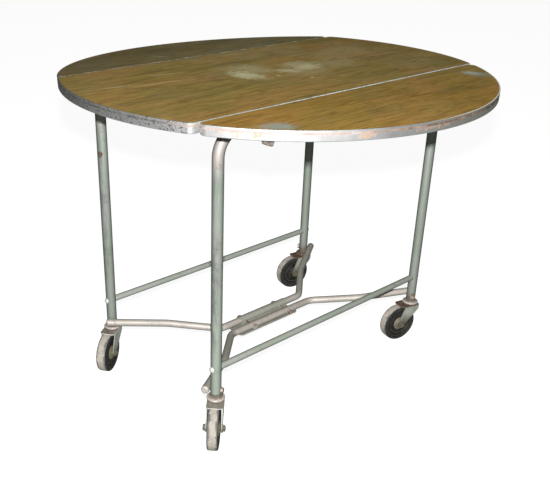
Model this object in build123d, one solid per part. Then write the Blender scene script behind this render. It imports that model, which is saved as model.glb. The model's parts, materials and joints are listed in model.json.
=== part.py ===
"""Food service trolley: a round top with two drop leaves on a tubular frame with four swivel casters.

Frame: millimetres, +Z up, origin on the floor under the centre of the top, +X along the hinge lines.
The front leaf is on the -Y side and the back leaf on the +Y side.
"""

import os
from math import asin, atan2, cos, degrees, hypot, radians, sin

from build123d import *

# ---- top -------------------------------------------------------------------------------------
TOP_HEIGHT = 765.0  # floor to the working face
TOP_RADIUS = 508.0
HINGE_Y = 238.0  # each leaf's hinge axis lies at y = +-HINGE_Y
BAND_GAP = 0.5  # half the slit between two panels
CORNER_RADIUS = 16.0
CORE_THICKNESS = 19.6
LAMINATE_THICKNESS = 1.4
TOP_THICKNESS = CORE_THICKNESS + LAMINATE_THICKNESS
UNDERSIDE = TOP_HEIGHT - TOP_THICKNESS
BAND_THICKNESS = 2.6
BAND_LIP_HEIGHT = 4.8  # bead above the groove
BAND_GROOVE_HEIGHT = 2.4
BAND_GROOVE_DEPTH = 1.1
BAND_EDGE_ROUND = 0.9
FRONT_DROOP = 0.3  # degrees below level, at rest
BACK_DROOP = 4.0
NAIL_PITCH = 95.0
NAIL_RADIUS = 0.8
NAIL_HEAD_RADIUS = 1.1
NAIL_LENGTH = 14.0

# ---- hinges ----------------------------------------------------------------------------------
HINGE_DROP = 4.0  # hinge axis below the underside
HINGE_Z = UNDERSIDE - HINGE_DROP
HINGE_XS = (-300.0, 0.0, 300.0)
FLAP_LENGTH = 60.0
FLAP_DEPTH = 30.0
FLAP_THICKNESS = 1.6
FLAP_SETBACK = 4.4  # plate starts here, clear of the other flap's knuckles
KNUCKLE_RADIUS = 3.8
KNUCKLE_GAP = 0.2
PIN_RADIUS = 2.5
FIT = 0.05  # radial running clearance
SNUG = 0.02  # radial clearance of a fastener in its hole
WOOD_SCREW_RADIUS = 1.9
WOOD_SCREW_HEAD_RADIUS = 3.6
WOOD_SCREW_DEPTH = 13.0
FLAP_SCREWS = ((-20.0, 24.0), (0.0, 13.0), (20.0, 24.0))  # (along the hinge, away from the axis)

# ---- leaf stops ------------------------------------------------------------------------------
STOP_DISTANCE = 101.0  # from the hinge axis
STOP_X = 350.0
STOP_WIDTH = 16.0
STOP_SCREW_OFFSET = 12.0

# ---- leg frames ------------------------------------------------------------------------------
LEG_X = 360.0
LEG_Y = 210.0
LEG_RADIUS = 12.7
LEG_WALL = 1.6
LEG_BEND_RADIUS = 56.0
LEG_FOOT_Z = 114.5
RUN_GAP = 2.5  # spacer between the tube run and the underside
RUN_Z = UNDERSIDE - RUN_GAP - LEG_RADIUS
RUN_SCREW_XS = (-230.0, -80.0, 80.0, 230.0)
RUN_SCREW_RADIUS = 2.5
RUN_SCREW_DEPTH = 13.0
RAIL_Z = 186.0
RAIL_RADIUS = 8.0
RAIL_WALL = 1.2
RAIL_END_X = LEG_X + 7.0
RIVET_RADIUS = 6.0
RIVET_HEAD_RADIUS = 7.4
RIVET_HEAD_HEIGHT = 5.0

# ---- brace -----------------------------------------------------------------------------------
BRACE_LEG_Z = 130.0  # centreline where a brace meets its leg
BRACE_MIDDLE_Z = 105.0  # centreline of the middle, lower than the ends
BRACE_RADIUS = 9.5
BRACE_WALL = 1.4
BRACE_MIDDLE_Y = 19.5
BRACE_BEND = Vector(146.0, BRACE_MIDDLE_Y, 0)
BRACE_KINK = Vector(251.0, 115.0, 0)
BRACE_BEND_RADIUS = 38.0
BRACE_KINK_RADIUS = 90.0
BRACE_OVERRUN = 15.0  # past the bolt through the leg
BRACE_END_WALL = 6.0
BRACE_END_ROUND = 4.5
END_NUT_FACE = 5.0  # from the centreline of the brace, on the leg side
END_NUT_HEIGHT = 4.0
END_NUT_FLATS = 10.0
BOLT_RADIUS = 3.1
BOLT_HEAD_RADIUS = 6.0
BOLT_HEAD_HEIGHT = 4.2
CENTRE_BOLT_XS = (-70.0, 57.0)
CHANNEL_LENGTH = 210.0
CHANNEL_X = -14.0
CHANNEL_SHEET = 2.0
CHANNEL_LIP = 4.0
SADDLE_SPANS = ((-84.0, -28.3), (-25.7, 64.0), (66.6, 86.0))
SADDLE_SHEET = 1.6

# ---- casters ---------------------------------------------------------------------------------
# Each caster: name, leg x sign, leg y sign, direction the wheel trails in at rest (degrees from +X).
CASTERS = (
    ("front_left", -1, -1, -136.0),
    ("back_left", -1, 1, -146.0),
    ("back_right", 1, 1, 167.0),
    ("front_right", 1, -1, 165.0),
)
TRAIL = 38.0
WHEEL_RADIUS = 50.8
TYRE_HALF_WIDTH = 12.5
TYRE_INNER_RADIUS = 42.0
TYRE_ROUND = 3.0
CORE_HALF_WIDTH = 11.4
HUB_RADIUS = 19.0
AXLE_RADIUS = 4.0
BUSH_RADIUS = 6.5
FORK_HALF_GAP = 16.5
FORK_SHEET = 2.6
CROWN_LOW = 102.6
CROWN_HIGH = 105.2
CROWN_RADIUS = 21.5
CROWN_REACH = 40.0  # from the king pin out over the wheel
ARM_FRONT = 25.0  # front edge of an arm where it leaves the crown
ARM_BACK = -17.5
ARM_TIP_RADIUS = 10.0
AXLE_WASHER_RADIUS = 9.2
AXLE_HEX_FLATS = 13.5
KING_PIN_RADIUS = 5.0
KING_HEAD_RADIUS = 8.0
KING_HEAD_HEIGHT = 2.6
BALL_RADIUS = 2.0
BALL_CIRCLE_RADIUS = 14.0
BALL_COUNT = 14
RACE_RADIUS = 21.5
SOCKET_LENGTH = 36.0


# ---- small helpers ---------------------------------------------------------------------------
def rod(start, end, radius):
    """A round bar between two points."""
    start, end = Vector(*start), Vector(*end)
    plane = Plane(origin=start, z_dir=end - start)
    return extrude(plane * Circle(radius), (end - start).length)


def hex_bar(start, end, across_flats):
    """A hexagonal bar between two points."""
    start, end = Vector(*start), Vector(*end)
    plane = Plane(origin=start, z_dir=end - start)
    return extrude(plane * RegularPolygon(across_flats / 2, 6, major_radius=False), (end - start).length)


def dome(base, tip, radius):
    """A rivet or screw head: a spherical cap from its flat base to its tip."""
    base, tip = Vector(*base), Vector(*tip)
    height = (tip - base).length
    sphere_radius = (radius**2 + height**2) / (2 * height)
    arc = ThreePointArc(
        (radius, 0),
        (sphere_radius * sin(asin(radius / sphere_radius) / 2),
         height - sphere_radius * (1 - cos(asin(radius / sphere_radius) / 2))),
        (0, height),
    )
    outline = make_face(Curve() + [arc, Line((0, height), (0, 0)), Line((0, 0), (radius, 0))])
    cap = revolve(Plane.XZ * outline, Axis.Z)
    return Plane(origin=base, z_dir=tip - base) * cap


def tube(points, radius, wall, bends):
    """A bent tube along straight runs, with one bend radius for each inner corner.

    A wall as thick as the radius gives a solid bar.
    """
    path = points_to_path(points, bends)
    section = Circle(radius) - Circle(radius - wall) if wall < radius else Circle(radius)
    return sweep(Plane(origin=path @ 0, z_dir=path % 0) * section, path=path)


def points_to_path(points, bends):
    """Straight runs joined by tangent arcs of the given radii."""
    points = [Vector(*p) for p in points]
    pieces, start = [], points[0]
    for before, corner, after, radius in zip(points, points[1:], points[2:], bends):
        a, b = (before - corner).normalized(), (after - corner).normalized()
        half = radians(a.get_angle(b)) / 2
        reach = radius * cos(half) / sin(half)
        middle = (a + b).normalized() * (radius / sin(half) - radius)
        arc_start, arc_end = corner + a * reach, corner + b * reach
        pieces += [Line(start, arc_start), ThreePointArc(arc_start, corner + middle, arc_end)]
        start = arc_end
    pieces.append(Line(start, points[-1]))
    return Wire([piece.edge() for piece in pieces])


def group(shapes):
    """Separate solids kept together in one node."""
    return Compound([solid for shape in shapes for solid in shape.solids()])


def save(name, shape):
    """Write one node."""
    export_step(shape, os.path.join("parts", name + ".step"))


def droop(shape, side):
    """Turn a leaf's piece about its hinge axis to where the leaf hangs at rest."""
    angle = FRONT_DROOP if side < 0 else -BACK_DROOP
    return shape.rotate(Axis((0, side * HINGE_Y, HINGE_Z), (1, 0, 0)), angle)


# ---- top -------------------------------------------------------------------------------------
def panel_outline(side, inset=0.0):
    """The centre panel (side 0) or a leaf (side -1 or 1), from above."""
    disc = Circle(TOP_RADIUS)
    if side == 0:
        edge_y = HINGE_Y - BAND_GAP
        shape = disc & Rectangle(2.2 * TOP_RADIUS, 2 * edge_y)
    else:
        edge_y = HINGE_Y + BAND_GAP
        shape = disc & (Pos(0, side * (edge_y + TOP_RADIUS / 2)) * Rectangle(2.2 * TOP_RADIUS, TOP_RADIUS))
    corners = [v for v in shape.vertices() if abs(abs(v.Y) - edge_y) < 0.01]
    shape = fillet(corners, CORNER_RADIUS)
    return offset(shape, amount=-inset) if inset else shape


def slab(side, inset, low, high):
    """A panel outline between two heights."""
    return Pos(0, 0, low) * extrude(panel_outline(side, inset), high - low)


def nail_angles(side):
    """Angles round the top at which a panel's band is nailed."""
    corner = degrees(asin(HINGE_Y / TOP_RADIUS))
    margin = degrees(2 * CORNER_RADIUS / TOP_RADIUS)
    spans = {
        0: [(-corner + margin, corner - margin), (180 - corner + margin, 180 + corner - margin)],
        1: [(corner + margin, 180 - corner - margin)],
        -1: [(180 + corner + margin, 360 - corner - margin)],
    }[side]
    angles = []
    for first, last in spans:
        count = round(radians(last - first) * TOP_RADIUS / NAIL_PITCH)
        angles += [first + (last - first) * i / count for i in range(count + 1)]
    return angles


def band_nails(side, extra=0.0):
    """Nails in the groove, driven towards the middle. With extra, the holes for them."""
    z = TOP_HEIGHT - BAND_LIP_HEIGHT - BAND_GROOVE_HEIGHT / 2
    floor = TOP_RADIUS - BAND_GROOVE_DEPTH
    nails = []
    for angle in nail_angles(side):
        direction = Vector(cos(radians(angle)), sin(radians(angle)), 0)
        lift = Vector(0, 0, z)
        shank = rod(direction * (floor - NAIL_LENGTH) + lift, direction * (floor + 0.1) + lift,
                    NAIL_RADIUS + extra)
        if extra:
            nails.append(shank)
        else:
            head = rod(direction * (floor + 0.05) + lift, direction * (floor + 0.7) + lift,
                       NAIL_HEAD_RADIUS)
            nails.append(shank + head)
    return nails


def wood_screws(side):
    """Where a panel's countersunk screws go: (x, y, height of the face under the head)."""
    flap_face = UNDERSIDE - FLAP_THICKNESS
    rows = []
    for hinge_side in (-1, 1):
        if side not in (0, hinge_side):
            continue
        away = -hinge_side if side == 0 else hinge_side
        for hinge_x in HINGE_XS:
            rows += [(hinge_x + dx, hinge_side * HINGE_Y + away * dy, flap_face) for dx, dy in FLAP_SCREWS]
    if side:
        for stop_x in (-STOP_X, STOP_X):
            rows += [(stop_x, side * (HINGE_Y + STOP_DISTANCE + dy), flap_face)
                     for dy in (-STOP_SCREW_OFFSET, STOP_SCREW_OFFSET)]
    return rows


def wood_screw(x, y, face, extra=0.0):
    """A countersunk screw, driven upwards, its head flush with a face. With extra, the hole for it."""
    head = Pos(x, y, face + FLAP_THICKNESS / 2) * Cone(
        WOOD_SCREW_HEAD_RADIUS + extra, WOOD_SCREW_RADIUS + extra, FLAP_THICKNESS)
    shank = rod((x, y, face + FLAP_THICKNESS - 0.1), (x, y, UNDERSIDE + WOOD_SCREW_DEPTH + extra),
                WOOD_SCREW_RADIUS + extra)
    slot = Pos(x, y, face) * Box(2 * WOOD_SCREW_HEAD_RADIUS, 1.0, 1.2)
    return head + shank if extra else head + shank - slot


def make_panel(name, side):
    """Core, laminate skin, edge band and band nails of one panel."""
    place = (lambda shape: droop(shape, side)) if side else (lambda shape: shape)
    core = slab(side, BAND_THICKNESS, UNDERSIDE, UNDERSIDE + CORE_THICKNESS)
    core -= band_nails(side, SNUG)
    core -= [wood_screw(x, y, face, SNUG) for x, y, face in wood_screws(side)]
    if side == 0:
        screw_end = UNDERSIDE + RUN_SCREW_DEPTH + SNUG
        core -= [rod((x, y, UNDERSIDE - 1), (x, y, screw_end), RUN_SCREW_RADIUS + SNUG)
                 for x in RUN_SCREW_XS for y in (-LEG_Y, LEG_Y)]
    laminate = slab(side, BAND_THICKNESS, UNDERSIDE + CORE_THICKNESS, TOP_HEIGHT)

    groove_high = TOP_HEIGHT - BAND_LIP_HEIGHT
    groove_low = groove_high - BAND_GROOVE_HEIGHT
    lip = slab(side, 0, groove_high, TOP_HEIGHT)
    lip = fillet(lip.edges().group_by(Axis.Z)[-1], BAND_EDGE_ROUND)
    face = slab(side, 0, UNDERSIDE, groove_low)
    face = fillet(face.edges().group_by(Axis.Z)[0], BAND_EDGE_ROUND)
    band = lip + face + slab(side, BAND_GROOVE_DEPTH, groove_low, groove_high)
    band -= slab(side, BAND_THICKNESS, UNDERSIDE - 1, TOP_HEIGHT + 1)
    band -= band_nails(side, SNUG)

    save(name + "_core", place(core))
    save(name + "_laminate", place(laminate))
    save(name + "_edge_band", place(band))
    save(name + "_band_nails", group([place(nail) for nail in band_nails(side)]))


# ---- hinges and stops ------------------------------------------------------------------------
def hinge_flap(side, hinge_x, moving):
    """One flap of a butt hinge: a plate under a panel with its knuckles round the pin."""
    away = side if moving else -side
    axis_y = side * HINGE_Y
    outer = FLAP_LENGTH / 2
    third = FLAP_LENGTH / 6
    if moving:
        knuckles = [(-third + KNUCKLE_GAP, third - KNUCKLE_GAP)]
    else:
        knuckles = [(-outer, -third), (third, outer)]
    plate_depth = FLAP_DEPTH - FLAP_SETBACK
    plate_z = UNDERSIDE - FLAP_THICKNESS / 2
    plate_y = axis_y + away * (FLAP_SETBACK + plate_depth / 2)
    flap = Pos(hinge_x, plate_y, plate_z) * Box(FLAP_LENGTH, plate_depth, FLAP_THICKNESS)
    neck_inner = 0.6
    neck_y = axis_y + away * (neck_inner + FLAP_SETBACK) / 2
    neck_depth = FLAP_SETBACK - neck_inner + 0.2
    for low, high in knuckles:
        middle = hinge_x + (low + high) / 2
        flap += Pos(middle, neck_y, plate_z) * Box(high - low, neck_depth, FLAP_THICKNESS)
        flap += rod((hinge_x + low, axis_y, HINGE_Z), (hinge_x + high, axis_y, HINGE_Z), KNUCKLE_RADIUS)
    flap -= rod((hinge_x - outer - 1, axis_y, HINGE_Z), (hinge_x + outer + 1, axis_y, HINGE_Z),
                PIN_RADIUS + FIT)
    face = UNDERSIDE - FLAP_THICKNESS
    flap -= [wood_screw(hinge_x + dx, axis_y + away * dy, face, SNUG) for dx, dy in FLAP_SCREWS]
    return flap


def hinge_pin(side, hinge_x):
    """A hinge pin with a low head at each end."""
    y, reach = side * HINGE_Y, FLAP_LENGTH / 2 + FIT
    pin = rod((hinge_x - reach, y, HINGE_Z), (hinge_x + reach, y, HINGE_Z), PIN_RADIUS)
    for end in (-1, 1):
        base = (hinge_x + end * reach, y, HINGE_Z)
        pin += dome(base, (hinge_x + end * (reach + 1.6), y, HINGE_Z), KNUCKLE_RADIUS - 0.4)
    return pin


def leaf_stop(side, stop_x):
    """A bent steel lug under a leaf that meets the leg when the leaf hangs."""
    flat = FLAP_THICKNESS
    nose = Polyline(
        (-14, 0), (14, 0), (14, -flat), (10, -flat), (4.5, -15), (0.5, -15),
        (-2.5, -10), (-7.5, -12), (-10, -9), (-10, -flat), (-14, -flat), close=True)
    hollow = Polyline(
        (6.5, -flat), (3, -12), (1.5, -12), (-2.5, -6.5), (-6.5, -8.5), (-8, -flat), close=True)
    y = side * (HINGE_Y + STOP_DISTANCE)
    section = Plane.XZ * (make_face(nose) - make_face(hollow))
    lug = Pos(stop_x, y, UNDERSIDE) * extrude(section, STOP_WIDTH / 2, both=True)
    foot_depth = 2 * STOP_SCREW_OFFSET + 9
    lug += Pos(stop_x, y, UNDERSIDE - flat / 2) * Box(12, foot_depth, flat)
    face = UNDERSIDE - flat
    lug -= [wood_screw(stop_x, y + side * dy, face, SNUG) for dy in (-STOP_SCREW_OFFSET, STOP_SCREW_OFFSET)]
    return lug


def make_hinges():
    """Hinge flaps, pins, leaf stops and all countersunk screws."""
    sides = (-1, 1)
    save("hinge_fixed_flaps", group([hinge_flap(s, x, False) for s in sides for x in HINGE_XS]))
    save("hinge_pins", group([hinge_pin(s, x) for s in sides for x in HINGE_XS]))
    save("hinge_fixed_screws", group([wood_screw(*spot) for spot in wood_screws(0)]))
    for name, side in (("front", -1), ("back", 1)):
        flaps = [hinge_flap(side, x, True) for x in HINGE_XS]
        stops = [leaf_stop(side, x) for x in (-STOP_X, STOP_X)]
        screws = [wood_screw(*spot) for spot in wood_screws(side)]
        for kind, pieces in (("hinge_moving_flaps", flaps), ("leaf_stops", stops), ("leaf_screws", screws)):
            save(name + "_" + kind, group([droop(piece, side) for piece in pieces]))


# ---- frame -----------------------------------------------------------------------------------
def leg_frame(side):
    """One tube bent as an upside-down U, drilled for its screws, rail and bolts."""
    y = side * LEG_Y
    frame = tube([(-LEG_X, y, LEG_FOOT_Z), (-LEG_X, y, RUN_Z), (LEG_X, y, RUN_Z), (LEG_X, y, LEG_FOOT_Z)],
                 LEG_RADIUS, LEG_WALL, (LEG_BEND_RADIUS, LEG_BEND_RADIUS))
    for x in RUN_SCREW_XS:
        frame -= rod((x, y, RUN_Z - 20), (x, y, RUN_Z + 20), RUN_SCREW_RADIUS + SNUG)
    for end in (-1, 1):
        frame -= rod((0, y, RAIL_Z), (end * RAIL_END_X, y, RAIL_Z), RAIL_RADIUS + SNUG)
        frame -= rod((end * LEG_X, y, RAIL_Z), (end * (LEG_X + 20), y, RAIL_Z), RIVET_RADIUS + SNUG)
        bolt_start = across_leg(end, side, BRACE_RADIUS + 2 * LEG_RADIUS)
        frame -= rod(bolt_start, across_leg(end, side, 0), BOLT_RADIUS + SNUG)
    return frame


def side_rail(side):
    """A thin tube between the two legs of one frame, let into their inner walls."""
    y = side * LEG_Y
    return tube([(-RAIL_END_X, y, RAIL_Z), (RAIL_END_X, y, RAIL_Z)], RAIL_RADIUS, RAIL_WALL, ())


def rail_rivet(end, side):
    """The plug that closes a rail's end and is headed over on the outer side of the leg."""
    y = side * LEG_Y
    surface = LEG_X + LEG_RADIUS
    shank = rod((end * (RAIL_END_X - 18), y, RAIL_Z), (end * surface, y, RAIL_Z), RIVET_RADIUS)
    return shank + dome((end * surface, y, RAIL_Z), (end * (surface + RIVET_HEAD_HEIGHT), y, RAIL_Z),
                        RIVET_HEAD_RADIUS)


def make_frame():
    """Leg frames, their spacers and screws, the side rails and their rivets."""
    for name, side in (("front", -1), ("back", 1)):
        save(name + "_leg_frame", leg_frame(side))
        save(name + "_side_rail", side_rail(side))
    spacers, screws = [], []
    tube_low = RUN_Z - LEG_RADIUS
    for x in RUN_SCREW_XS:
        for y in (-LEG_Y, LEG_Y):
            ring = Circle(8) - Circle(RUN_SCREW_RADIUS + SNUG)
            spacers.append(Pos(x, y, UNDERSIDE - RUN_GAP) * extrude(ring, RUN_GAP))
            shank = rod((x, y, tube_low), (x, y, UNDERSIDE + RUN_SCREW_DEPTH), RUN_SCREW_RADIUS)
            screws.append(shank + dome((x, y, tube_low), (x, y, tube_low - 3.2), 5.2))
    save("run_spacers", group(spacers))
    save("run_screws", group(screws))
    save("rail_rivets", group([rail_rivet(end, side) for end in (-1, 1) for side in (-1, 1)]))


# ---- brace -----------------------------------------------------------------------------------
def brace_end_geometry():
    """Where the last straight of a brace touches its leg, for the leg at +x +y.

    Returns the point of the centreline beside the leg, the direction outwards along the tube,
    and the direction from the tube to the leg, all seen from above.
    """
    leg = Vector(LEG_X, LEG_Y, 0)
    reach = LEG_RADIUS + BRACE_RADIUS
    span = leg - BRACE_KINK
    angle = atan2(span.Y, span.X) - asin(reach / hypot(span.X, span.Y))
    along = Vector(cos(angle), sin(angle), 0)
    across = Vector(-sin(angle), cos(angle), 0)
    return leg - across * reach, along, across


def brace_half():
    """The centreline of half a brace, from its end beyond the leg at +x +y to its middle bend."""
    touch, along, _ = brace_end_geometry()
    outer_run, inner_run = (touch - BRACE_KINK).length, (BRACE_KINK - BRACE_BEND).length
    fall = (BRACE_LEG_Z - BRACE_MIDDLE_Z) / (outer_run + inner_run)
    return [
        touch + along * BRACE_OVERRUN + Vector(0, 0, BRACE_LEG_Z + fall * BRACE_OVERRUN),
        BRACE_KINK + Vector(0, 0, BRACE_LEG_Z - fall * outer_run),
        BRACE_BEND + Vector(0, 0, BRACE_MIDDLE_Z),
    ]


def mirrored(vector, end, side):
    """A point given for the leg at +x +y, for another leg."""
    return Vector(end * vector.X, side * vector.Y, vector.Z)


def across_leg(end, side, distance):
    """A point on the bolt line of a leg, at a distance from the brace's centreline to the leg side."""
    touch, _, across = brace_end_geometry()
    return mirrored(touch + across * distance + Vector(0, 0, BRACE_LEG_Z), end, side)


def centre_bolt_hole(x):
    """The hole for a centre bolt, through both brace tubes."""
    return rod((x, -60, BRACE_MIDDLE_Z), (x, 60, BRACE_MIDDLE_Z), BOLT_RADIUS + SNUG)


def brace_tube(side):
    """One brace: parallel to the hinge lines in the middle, then out and up to its two legs.

    Both ends are closed and rounded over.
    """
    half = brace_half()
    outer = [mirrored(p, -1, side) for p in half] + [mirrored(p, 1, side) for p in reversed(half)]
    inner = list(outer)
    inner[0] += (outer[1] - outer[0]).normalized() * BRACE_END_WALL
    inner[-1] += (outer[-2] - outer[-1]).normalized() * BRACE_END_WALL
    bends = (BRACE_KINK_RADIUS, BRACE_BEND_RADIUS, BRACE_BEND_RADIUS, BRACE_KINK_RADIUS)
    bar = tube(outer, BRACE_RADIUS, BRACE_RADIUS, bends)
    bar = fillet(bar.faces().filter_by(GeomType.PLANE).edges(), BRACE_END_ROUND)
    bore = BRACE_RADIUS - BRACE_WALL
    brace = bar - tube(inner, bore, bore, bends)
    for end in (-1, 1):
        brace -= rod(across_leg(end, side, 2 * LEG_RADIUS), across_leg(end, side, 0), BOLT_RADIUS + SNUG)
    return brace - [centre_bolt_hole(x) for x in CENTRE_BOLT_XS]


def end_bolt(end, side):
    """The bolt through a leg, and the nut that holds it inside the closed end of the brace."""
    washer = 1.2
    face = BRACE_RADIUS + 2 * LEG_RADIUS

    def at(distance):
        return across_leg(end, side, distance)

    screw = rod(at(face), at(END_NUT_FACE - END_NUT_HEIGHT - 0.5), BOLT_RADIUS)
    screw += rod(at(face), at(face + washer), BOLT_HEAD_RADIUS + 1.4)
    screw += hex_bar(at(face + washer), at(face + washer + BOLT_HEAD_HEIGHT), 2 * BOLT_HEAD_RADIUS - 1)
    nut = hex_bar(at(END_NUT_FACE), at(END_NUT_FACE - END_NUT_HEIGHT), END_NUT_FLATS)
    return screw, nut - rod(at(face), at(-1), BOLT_RADIUS + SNUG)


def bolt(head_face, nut_face, overrun=3.0):
    """A bolt and its nut as two solids: a hexagon head over a washer, and a nut on the far side."""
    head_face, nut_face = Vector(*head_face), Vector(*nut_face)
    way = (nut_face - head_face).normalized()
    washer = 1.2
    flats = 2 * BOLT_HEAD_RADIUS - 1
    shank = rod(head_face, nut_face + way * (BOLT_HEAD_HEIGHT + washer + overrun), BOLT_RADIUS)
    screw = shank + rod(head_face, head_face - way * washer, BOLT_HEAD_RADIUS + 1.4)
    screw += hex_bar(head_face - way * washer, head_face - way * (washer + BOLT_HEAD_HEIGHT), flats)
    nut = rod(nut_face, nut_face + way * washer, BOLT_HEAD_RADIUS + 1.4)
    nut += hex_bar(nut_face + way * washer, nut_face + way * (washer + BOLT_HEAD_HEIGHT), flats)
    nut -= rod(head_face, nut_face + way * 20, BOLT_RADIUS + SNUG)
    return screw, nut


def centre_channel():
    """The sheet-metal trough under both brace tubes, with low lips and clipped corners."""
    half_width = BRACE_MIDDLE_Y + BRACE_RADIUS + CHANNEL_SHEET
    low = BRACE_MIDDLE_Z - BRACE_RADIUS - CHANNEL_SHEET
    floor = Pos(0, 0, low + CHANNEL_SHEET / 2) * Box(CHANNEL_LENGTH, 2 * half_width, CHANNEL_SHEET)
    corners = floor.edges().filter_by(Axis.Z)
    trough = chamfer(corners, 6.0)
    for side in (-1, 1):
        lip = Box(CHANNEL_LENGTH - 16, CHANNEL_SHEET, CHANNEL_LIP)
        trough += Pos(0, side * (half_width - CHANNEL_SHEET / 2), low + CHANNEL_LIP / 2) * lip
    return Pos(CHANNEL_X, 0, 0) * trough


def centre_saddles():
    """Three straps in line, bent over the back brace tube, each with a foot between the tubes."""
    inner, outer = BRACE_RADIUS, BRACE_RADIUS + SADDLE_SHEET
    ring = Circle(outer) - Circle(inner)
    section = ring & (Pos(0, outer) * Rectangle(4 * outer, 2 * outer))
    wall_x = inner + SADDLE_SHEET / 2
    section += Pos(-wall_x, 0.5 - inner / 2) * Rectangle(SADDLE_SHEET, inner + 1.0)
    outer_wall = inner - CHANNEL_LIP + CHANNEL_SHEET - 0.5
    section += Pos(wall_x, 0.5 - outer_wall / 2) * Rectangle(SADDLE_SHEET, outer_wall + 1.0)
    foot_width = 14.0
    section += Pos(-inner - foot_width / 2, SADDLE_SHEET / 2 - inner) * Rectangle(foot_width, SADDLE_SHEET)
    section = Pos(0, BRACE_MIDDLE_Y, BRACE_MIDDLE_Z) * (Plane.YZ * section)
    holes = [centre_bolt_hole(x) for x in CENTRE_BOLT_XS]
    return [Pos(low, 0, 0) * extrude(section, high - low) - holes for low, high in SADDLE_SPANS]


def make_brace():
    """Brace tubes, the centre channel and saddles, and every bolt with its nut."""
    save("front_brace", brace_tube(-1))
    save("back_brace", brace_tube(1))
    save("centre_channel", centre_channel())
    save("centre_saddles", group(centre_saddles()))
    reach = BRACE_MIDDLE_Y + BRACE_RADIUS
    pairs = [bolt((x, -reach, BRACE_MIDDLE_Z), (x, reach + SADDLE_SHEET, BRACE_MIDDLE_Z))
             for x in CENTRE_BOLT_XS]
    save("centre_bolts", group([screw for screw, _ in pairs] + [nut for _, nut in pairs]))
    pairs = [end_bolt(end, side) for end in (-1, 1) for side in (-1, 1)]
    save("brace_end_bolts", group([screw for screw, _ in pairs]))
    save("brace_end_nuts", group([nut for _, nut in pairs]))


# ---- casters ---------------------------------------------------------------------------------
# A caster is drawn with its swivel axis on Z, its wheel trailing towards +X and its axle along Y.
def turned(points):
    """A solid of revolution about Z from (radius, height) points."""
    return revolve(Plane.XZ * make_face(Polyline(*points, close=True)), Axis.Z)


def on_axle(shape):
    """Move a shape made round the Z axis onto the axle."""
    return Pos(TRAIL, 0, WHEEL_RADIUS) * Rot(90, 0, 0) * shape


def caster_socket():
    """The plug that fills the foot of the leg, cross-drilled for the brace bolt."""
    radius = LEG_RADIUS - LEG_WALL - SNUG
    high = LEG_FOOT_Z + SOCKET_LENGTH
    return turned([(KING_PIN_RADIUS, LEG_FOOT_Z), (radius, LEG_FOOT_Z), (radius, high - 2),
                   (radius - 2, high), (KING_PIN_RADIUS, high)])


def swivel_race():
    """The flanged collar under the leg: a neck, a rolled rim and a skirt round the balls."""
    ball_top = CROWN_HIGH + 2 * BALL_RADIUS + FIT
    skirt_low = CROWN_HIGH + 1.0
    return turned([
        (KING_PIN_RADIUS, ball_top), (RACE_RADIUS - 2.4, ball_top), (RACE_RADIUS - 2.4, skirt_low),
        (RACE_RADIUS - 0.8, skirt_low), (RACE_RADIUS, skirt_low + 1), (RACE_RADIUS, ball_top + 1.0),
        (RACE_RADIUS - 1.4, ball_top + 2.4), (RACE_RADIUS - 4.0, ball_top + 2.6), (16.0, ball_top + 3.8),
        (15.0, LEG_FOOT_Z), (KING_PIN_RADIUS, LEG_FOOT_Z)])


def king_pin():
    """The pin that carries the fork: headed under the crown, up through the race into the plug."""
    head_high = CROWN_LOW - FIT
    pin = rod((0, 0, head_high - 0.1), (0, 0, LEG_FOOT_Z + 3.0), KING_PIN_RADIUS - SNUG)
    return pin + dome((0, 0, head_high), (0, 0, head_high - KING_HEAD_HEIGHT), KING_HEAD_RADIUS)


def bearing_balls():
    """The ring of balls between the race and the fork crown."""
    z = CROWN_HIGH + BALL_RADIUS + FIT / 2
    radius = BALL_CIRCLE_RADIUS
    angles = [radians(360 * i / BALL_COUNT) for i in range(BALL_COUNT)]
    return [Pos(radius * cos(a), radius * sin(a), z) * Sphere(BALL_RADIUS) for a in angles]


def fork():
    """Pressed fork: a crown that reaches out over the wheel, and two arms that taper to the axle."""
    outer = FORK_HALF_GAP + FORK_SHEET
    low, high = CROWN_LOW, CROWN_HIGH
    outline = Circle(CROWN_RADIUS) + Pos(CROWN_REACH / 2, 0) * Rectangle(CROWN_REACH, 2 * outer)
    outline &= Rectangle(2 * CROWN_REACH, 2 * outer)
    front_corners = outline.vertices().group_by(Axis.X)[-1]
    crown = Pos(0, 0, low) * extrude(fillet(front_corners, 7.0), high - low)
    top = make_face(Polyline((ARM_BACK, high), (ARM_FRONT, high), (ARM_FRONT, high - 8),
                             (ARM_BACK, high - 14), close=True))
    profile = make_hull((top + Pos(TRAIL, WHEEL_RADIUS) * Circle(ARM_TIP_RADIUS)).edges())
    arms = extrude(Plane.XZ * profile, outer, both=True)
    arms -= Box(300, 2 * FORK_HALF_GAP, 300)
    stiffener = Pos(ARM_BACK + FORK_SHEET / 2, 0, high - 5) * Box(FORK_SHEET, 2 * outer, 10)
    shape = crown + arms + stiffener
    shape -= rod((0, 0, low - 1), (0, 0, high + 1), KING_PIN_RADIUS + FIT)
    shape -= rod((TRAIL, -40, WHEEL_RADIUS), (TRAIL, 40, WHEEL_RADIUS), AXLE_RADIUS + SNUG)
    return shape


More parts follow.
